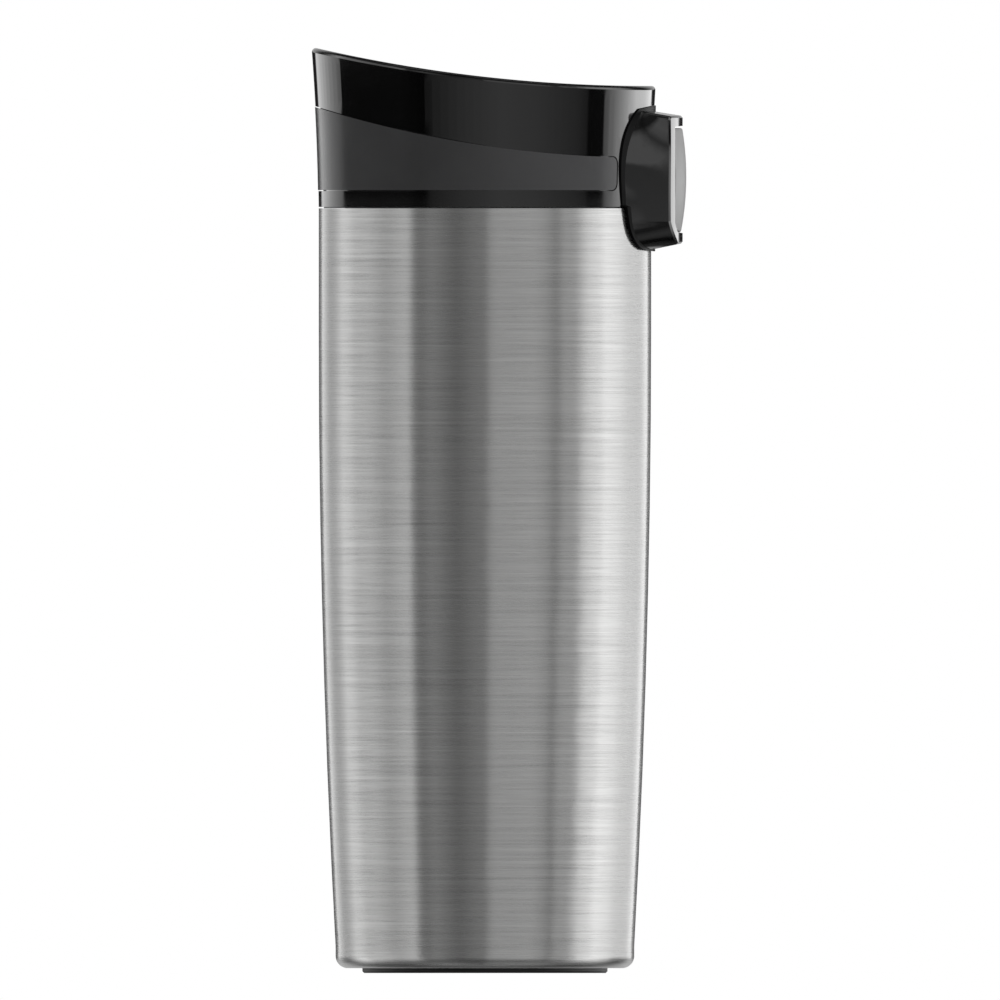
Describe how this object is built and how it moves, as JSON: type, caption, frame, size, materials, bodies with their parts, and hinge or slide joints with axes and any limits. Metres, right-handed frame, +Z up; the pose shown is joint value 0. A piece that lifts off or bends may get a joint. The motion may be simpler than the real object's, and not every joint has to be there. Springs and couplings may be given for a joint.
{
  "type": "insulated travel mug",
  "caption": "Double-walled steel travel mug with a screw-on lid, grip band and a sprung thumb button that opens the drinking slot.",
  "frame": {"origin": "on the mug's axis at the underside of the foot pad", "axes": "+Z up along the mug's axis, +X towards the thumb button, -X towards the side that is drunk from"},
  "size_m": [0.0844, 0.0772, 0.2087],
  "materials": {
    "brushed_shell": "stainless steel with fine circumferential brushing",
    "brushed_base": "stainless steel, brushed, with a turned-in base",
    "solder_glass": "dark solder glass bead",
    "liner_steel": "electropolished stainless steel",
    "strip_steel": "plain steel strip",
    "getter_alloy": "pressed metal powder",
    "foot_rubber": "matt black rubber",
    "gasket_silicone": "grey silicone",
    "gloss_black": "high gloss black moulding",
    "grip_soft": "dark grey soft-touch overmoulding",
    "core_black": "black polypropylene, lightly textured",
    "bezel_black": "dark satin moulding",
    "housing_black": "high gloss black moulding",
    "plate_grey": "mid grey satin moulding",
    "carrier_black": "black acetal",
    "rod_white": "natural acetal",
    "spring_steel": "spring steel",
    "pin_steel": "ground stainless pin",
    "arm_grey": "grey acetal",
    "stopper_silicone": "grey silicone"
  },
  "bodies": {
    "mug": {"outer_shell": "brushed_shell", "base_cap": "brushed_base", "vacuum_seal": "solder_glass", "inner_liner": "liner_steel", "getter_holder": "strip_steel", "getter": "getter_alloy", "base_pad": "foot_rubber"},
    "seal": {"lid_gasket": "gasket_silicone"},
    "lid": {"lid_shell": "gloss_black", "grip_band": "grip_soft", "lid_core": "core_black", "button_bezel": "bezel_black", "button_housing": "housing_black", "button_spring": "spring_steel", "rod_seal": "gasket_silicone", "pivot_pin": "pin_steel", "arm_spring": "spring_steel"},
    "button": {"button_plate": "plate_grey", "button_carrier": "carrier_black", "push_rod": "rod_white", "rod_clip": "spring_steel"},
    "valve": {"valve_arm": "arm_grey", "drink_stopper": "stopper_silicone", "vent_stopper": "stopper_silicone"}
  },
  "joints": [
    {"name": "lid_rise", "type": "slide", "parent": "mug", "child": "seal", "axis": [0, 0, 1], "range_m": [0, 0.01646]},
    {"name": "lid_turn", "type": "hinge", "parent": "seal", "child": "lid", "pos_m": [0, 0, 0.1738], "axis": [0, 0, 1], "range_deg": [0, 1185]},
    {"name": "button_press", "type": "slide", "parent": "lid", "child": "button", "axis": [-1, 0, 0], "range_m": [0, 0.003], "stiffness_N_per_m": 1500, "springref_m": -0.002, "deforming": ["button_spring"]},
    {"name": "valve_tilt", "type": "hinge", "parent": "lid", "child": "valve", "pos_m": [0.02, 0, 0.1765], "axis": [0, -1, 0], "range_deg": [0, 8]}
  ],
  "couplings": [
    {"joint": "lid_rise", "follows": "lid_turn", "m_per_rad": 0.00079577},
    {"joint": "valve_tilt", "follows": "button_press", "rad_per_m": 46.542}
  ]
}
